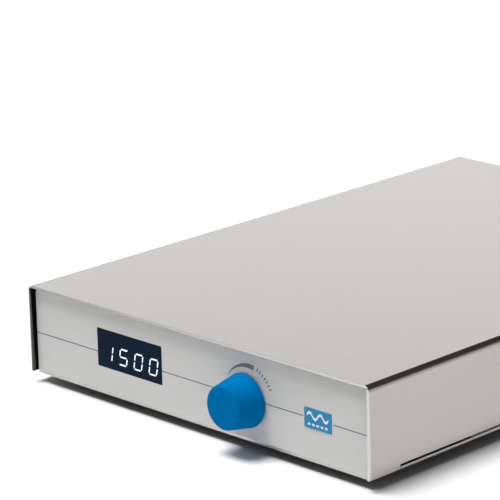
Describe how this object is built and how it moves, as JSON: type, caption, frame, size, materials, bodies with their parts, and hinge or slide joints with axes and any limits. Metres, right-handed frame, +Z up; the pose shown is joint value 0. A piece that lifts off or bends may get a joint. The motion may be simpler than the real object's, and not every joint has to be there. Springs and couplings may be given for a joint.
{
  "type": "magnetic stirrer",
  "caption": "Flat multi-position laboratory magnetic stirrer: brushed steel case, slim front panel with digital speed display and blue push-and-turn knob.",
  "frame": {"origin": "centre of the whole footprint, knob included, at the level of the table under the feet", "axes": "+Z up out of the stirring plate, -Y out of the control panel, +X to the right seen from the front, rotors turn about +Z"},
  "size_m": [0.234, 0.347, 0.052],
  "materials": {
    "stainless": "fine brushed stainless sheet",
    "zinc_steel": "bright zinc-plated steel",
    "printed_film": "silver-grey printed polyester film",
    "smoked_lens": "smoked acrylic, polished",
    "blue_print": "glossy blue label",
    "knob_blue": "moulded blue plastic, satin",
    "rubber": "black moulded rubber",
    "belt_rubber": "black belt rubber",
    "black_plastic": "black moulded nylon",
    "rotor_plastic": "grey moulded acetal",
    "magnet": "nickel-plated magnet",
    "bronze": "oil-filled sintered bronze",
    "aluminium": "machined aluminium",
    "circuit_board": "green solder mask",
    "cable_grey": "grey flexible insulation",
    "cream_plastic": "cream moulded nylon"
  },
  "bodies": {
    "case": {"base_tray": "stainless", "cover": "stainless", "cover_brackets": "stainless", "cover_screws": "zinc_steel", "feet": "rubber", "foot_screws": "zinc_steel", "front_overlay": "printed_film", "display_window": "smoked_lens", "badge": "blue_print", "encoder_housing": "zinc_steel", "encoder_nut": "zinc_steel", "axle_posts": "zinc_steel", "post_clips": "zinc_steel", "thrust_washers": "black_plastic", "drive_plate": "zinc_steel", "plate_standoffs": "zinc_steel", "drive_screws": "zinc_steel", "motor_bracket": "zinc_steel", "motor_housing": "zinc_steel", "drive_belt": "belt_rubber", "cross_belt": "belt_rubber", "column_belts": "belt_rubber", "digit_module": "black_plastic", "display_board": "circuit_board", "board_standoffs": "aluminium", "control_board": "circuit_board", "heat_sink": "aluminium", "capacitors": "black_plastic", "control_chip": "black_plastic", "connectors": "cream_plastic", "display_ribbon": "cable_grey", "motor_ribbon": "cable_grey", "power_lead": "cable_grey", "power_inlet": "black_plastic", "inlet_nut": "zinc_steel", "switch_frame": "black_plastic"},
    "encoder_wheel": {"encoder_wheel": "black_plastic"},
    "knob": {"knob": "knob_blue", "encoder_shaft": "zinc_steel"},
    "switch_rocker": {"rocker": "black_plastic"},
    "motor_spindle": {"motor_shaft": "zinc_steel", "motor_pulley": "aluminium"},
    "rotor_1": {"rotor_hub_1": "rotor_plastic", "rotor_magnets_1": "magnet", "rotor_bushing_1": "bronze"},
    "rotor_2": {"rotor_hub_2": "rotor_plastic", "rotor_magnets_2": "magnet", "rotor_bushing_2": "bronze"},
    "rotor_3": {"rotor_hub_3": "rotor_plastic", "rotor_magnets_3": "magnet", "rotor_bushing_3": "bronze"},
    "rotor_4": {"rotor_hub_4": "rotor_plastic", "rotor_magnets_4": "magnet", "rotor_bushing_4": "bronze"},
    "rotor_5": {"rotor_hub_5": "rotor_plastic", "rotor_magnets_5": "magnet", "rotor_bushing_5": "bronze"},
    "rotor_6": {"rotor_hub_6": "rotor_plastic", "rotor_magnets_6": "magnet", "rotor_bushing_6": "bronze"}
  },
  "joints": [
    {"name": "knob_turn", "type": "hinge", "parent": "case", "child": "encoder_wheel", "pos_m": [0.0354, -0.1563, 0.0256], "axis": [0, -1, 0], "continuous": true},
    {"name": "knob_push", "type": "slide", "parent": "encoder_wheel", "child": "knob", "axis": [0, 1, 0], "range_m": [0, 0.0005], "stiffness_N_per_m": 6000, "springref_m": -0.0001},
    {"name": "power_switch", "type": "hinge", "parent": "case", "child": "switch_rocker", "pos_m": [-0.024, 0.1661, 0.028], "axis": [0, 0, 1], "range_deg": [0, 20]},
    {"name": "rotor_1_spin", "type": "hinge", "parent": "case", "child": "rotor_1", "pos_m": [-0.056, -0.076, 0.0152], "axis": [0, 0, 1], "continuous": true},
    {"name": "rotor_2_spin", "type": "hinge", "parent": "case", "child": "rotor_2", "pos_m": [0.056, -0.076, 0.0152], "axis": [0, 0, 1], "continuous": true},
    {"name": "rotor_3_spin", "type": "hinge", "parent": "case", "child": "rotor_3", "pos_m": [-0.056, 0.018, 0.0152], "axis": [0, 0, 1], "continuous": true},
    {"name": "rotor_4_spin", "type": "hinge", "parent": "case", "child": "rotor_4", "pos_m": [0.056, 0.018, 0.0152], "axis": [0, 0, 1], "continuous": true},
    {"name": "rotor_5_spin", "type": "hinge", "parent": "case", "child": "rotor_5", "pos_m": [-0.056, 0.112, 0.0152], "axis": [0, 0, 1], "continuous": true},
    {"name": "rotor_6_spin", "type": "hinge", "parent": "case", "child": "rotor_6", "pos_m": [0.056, 0.112, 0.0152], "axis": [0, 0, 1], "continuous": true},
    {"name": "motor_spin", "type": "hinge", "parent": "case", "child": "motor_spindle", "pos_m": [0, 0.112, 0.0194], "axis": [0, 0, 1], "continuous": true}
  ],
  "couplings": [
    {"joint": "rotor_1_spin", "follows": "rotor_5_spin", "ratio": 1},
    {"joint": "rotor_2_spin", "follows": "rotor_5_spin", "ratio": 1},
    {"joint": "rotor_3_spin", "follows": "rotor_5_spin", "ratio": 1},
    {"joint": "rotor_4_spin", "follows": "rotor_5_spin", "ratio": 1},
    {"joint": "rotor_6_spin", "follows": "rotor_5_spin", "ratio": 1},
    {"joint": "motor_spin", "follows": "rotor_5_spin", "ratio": 1.8696}
  ]
}
